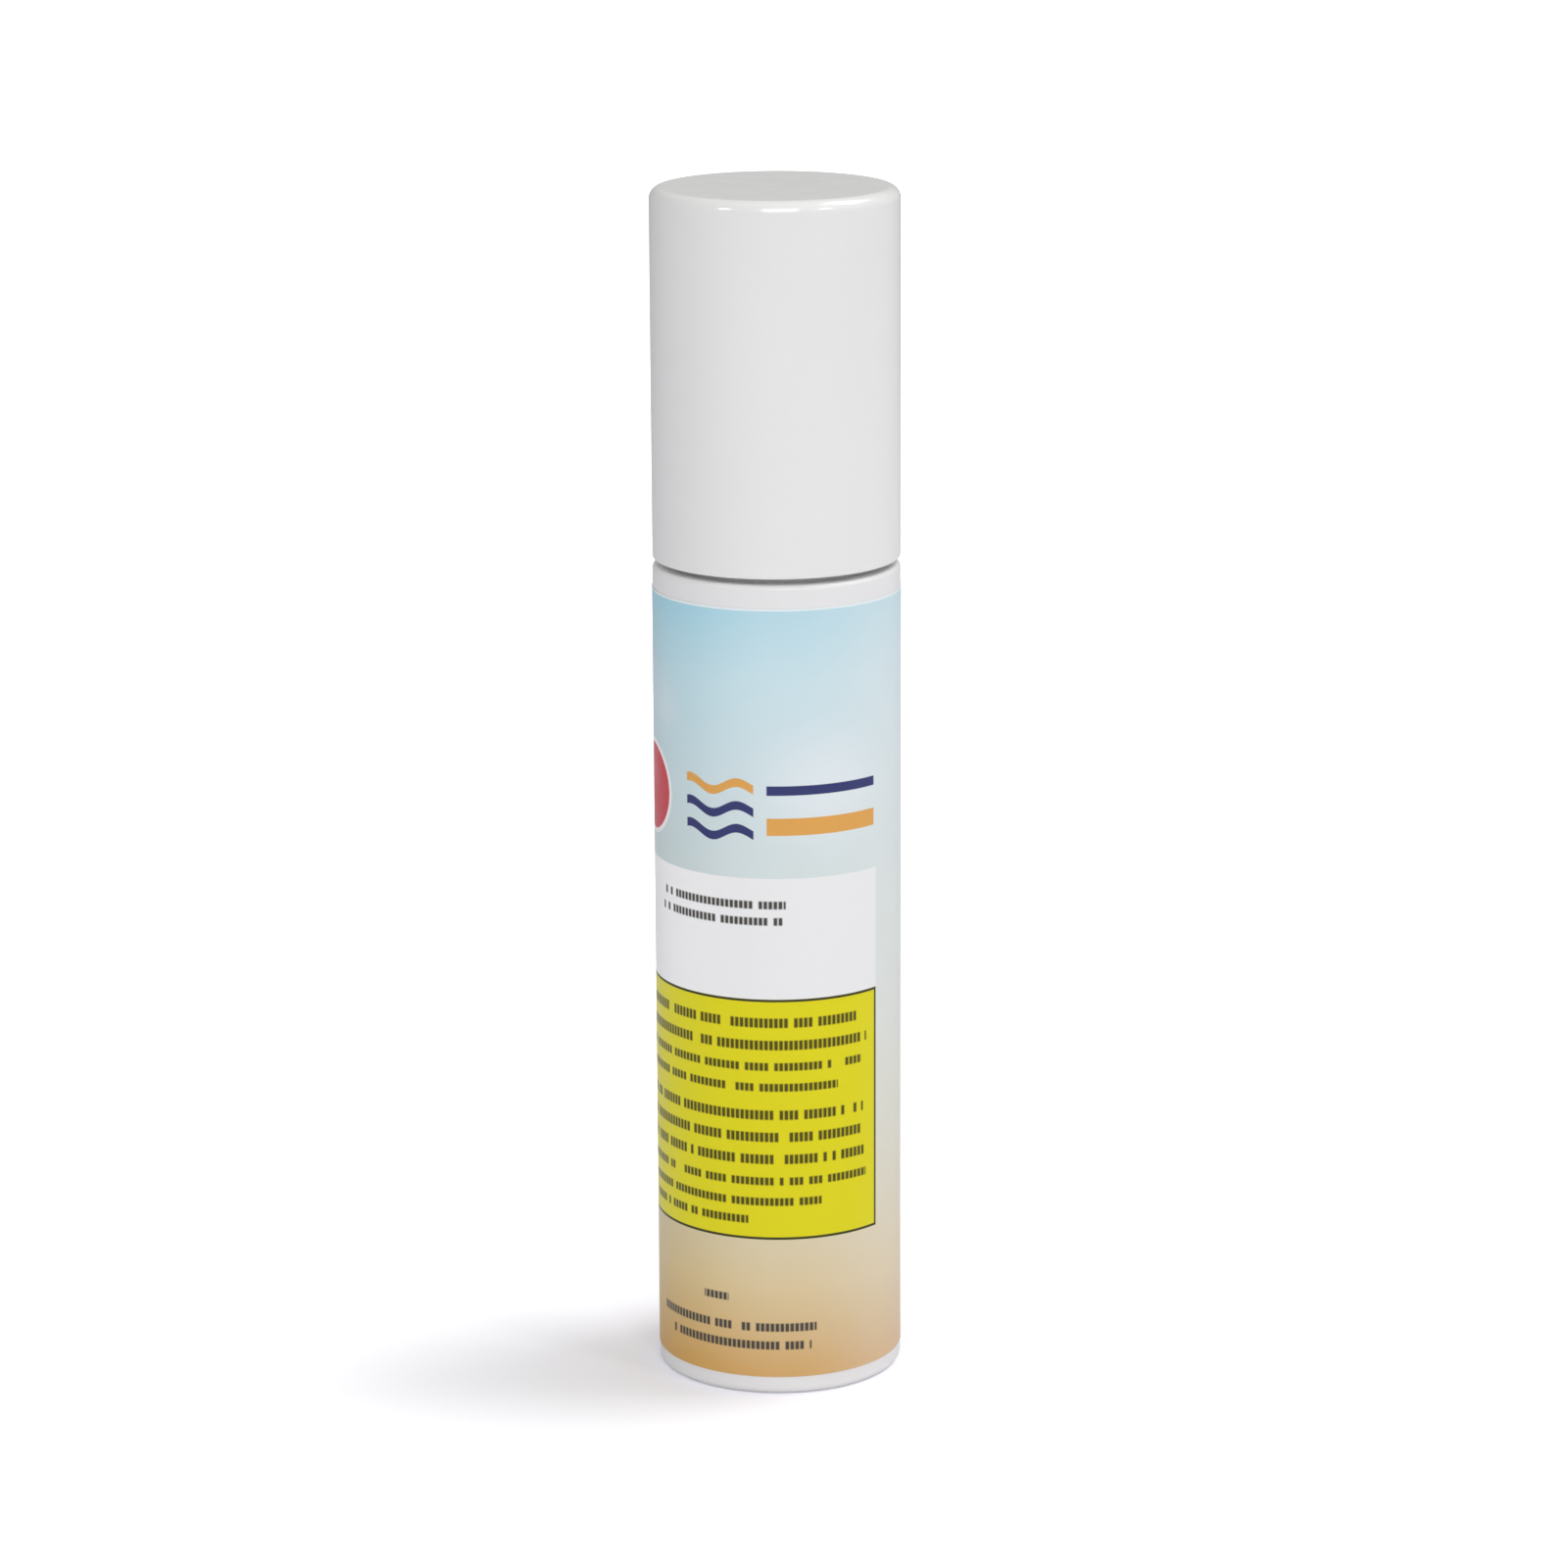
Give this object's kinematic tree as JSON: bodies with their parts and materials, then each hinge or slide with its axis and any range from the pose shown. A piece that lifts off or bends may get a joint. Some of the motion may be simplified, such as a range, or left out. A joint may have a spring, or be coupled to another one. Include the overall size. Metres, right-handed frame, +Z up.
{
  "type": "airless toothpaste dispenser",
  "caption": "Straight round airless pump dispenser for toothpaste, with a tall white lift-off cap over a push head and a wrap label.",
  "frame": {"origin": "centre of the foot, on the surface that the dispenser stands on", "axes": "+Z up the axis of the body towards the cap's top, the spout under the cap and the front of the label point along -Y"},
  "size_m": [0.0312, 0.0312, 0.1516],
  "materials": {
    "cap_white": "glossy moulded polypropylene",
    "body_white": "glossy moulded polypropylene",
    "label_film": "printed film, satin",
    "collar_white": "moulded polypropylene",
    "head_white": "moulded polypropylene",
    "pump_white": "natural moulding",
    "piston_natural": "natural polyethylene",
    "spring_steel": "drawn stainless wire",
    "ball_white": "polished ball",
    "gasket_foam": "soft seal",
    "paste": "smooth paste"
  },
  "bodies": {
    "base": {"container": "body_white", "base_plug": "body_white", "label": "label_film", "toothpaste": "paste", "collar": "collar_white", "gasket": "gasket_foam", "pump_housing": "pump_white", "stem_guide": "pump_white", "return_spring": "spring_steel"},
    "cap": {"overcap": "cap_white"},
    "plunger": {"stem": "pump_white", "piston_rod": "pump_white"},
    "piston": {"pump_piston": "piston_natural"},
    "head": {"actuator": "head_white"},
    "follower": {"follower_piston": "piston_natural"},
    "valve_ball": {"inlet_ball": "ball_white"}
  },
  "joints": [
    {"name": "cap_pull_off", "type": "slide", "parent": "base", "child": "cap", "axis": [0, 0, 1], "range_m": [0, 0.045]},
    {"name": "pump_press", "type": "slide", "parent": "base", "child": "plunger", "axis": [0, 0, -1], "range_m": [0, 0.0045], "stiffness_N_per_m": 1500, "springref_m": -0.003, "deforming": ["return_spring"]},
    {"name": "piston_lag", "type": "slide", "parent": "plunger", "child": "piston", "axis": [0, 0, 1], "range_m": [0, 0.0008]},
    {"name": "head_turn", "type": "hinge", "parent": "plunger", "child": "head", "pos_m": [0, 0, 0.1345], "axis": [0, 0, 1], "continuous": true},
    {"name": "follower_rise", "type": "slide", "parent": "base", "child": "follower", "axis": [0, 0, 1], "range_m": [0, 0.066], "deforming": ["toothpaste"]},
    {"name": "inlet_lift", "type": "slide", "parent": "base", "child": "valve_ball", "axis": [0, 0, 1], "range_m": [0, 0.0012]}
  ]
}
